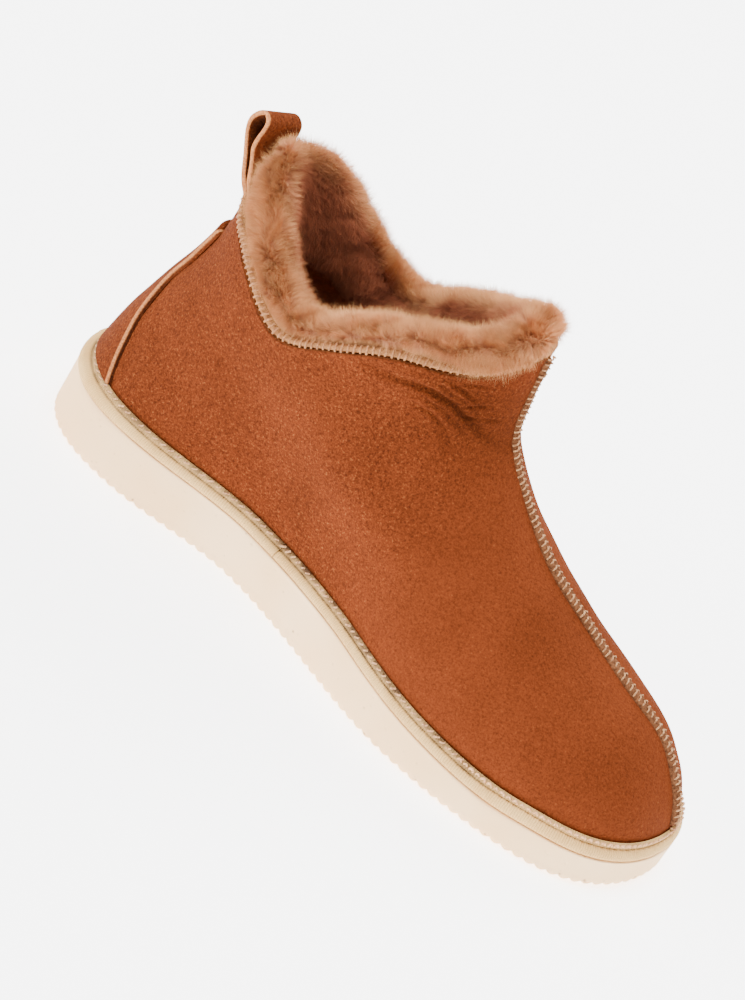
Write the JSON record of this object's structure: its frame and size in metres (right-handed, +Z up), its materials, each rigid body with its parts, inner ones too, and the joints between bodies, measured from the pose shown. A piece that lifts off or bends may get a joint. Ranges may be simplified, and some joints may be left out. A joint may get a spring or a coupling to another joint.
{
  "type": "sheepskin slipper",
  "caption": "Ankle-high sheepskin slipper with a fleece collar, heel stay, pull loop and overlocked front seam on a corded foam wedge sole.",
  "frame": {"origin": "on the floor, under the middle of the sole's length and width", "axes": "+X to the toe, +Y to the outer side of this left foot, -Y to its inner side, +Z up"},
  "size_m": [0.27, 0.0957, 0.1467],
  "materials": {
    "sole_foam": "matt moulded cream foam with fine pores",
    "suede": "orange-tan sheepskin suede with a fine mottled nap",
    "fleece": "dense tan fleece, darker at its roots",
    "tape": "cream corded cotton grosgrain",
    "thread": "beige overlocking thread over brown suede"
  },
  "bodies": {
    "root": {"outsole": "sole_foam", "insole": "fleece", "upper": "suede", "welt_tape": "tape", "heel_stay": "suede", "front_seam": "thread", "collar_seam": "thread", "fleece_collar": "fleece", "pull_loop": "suede"}
  },
  "joints": []
}
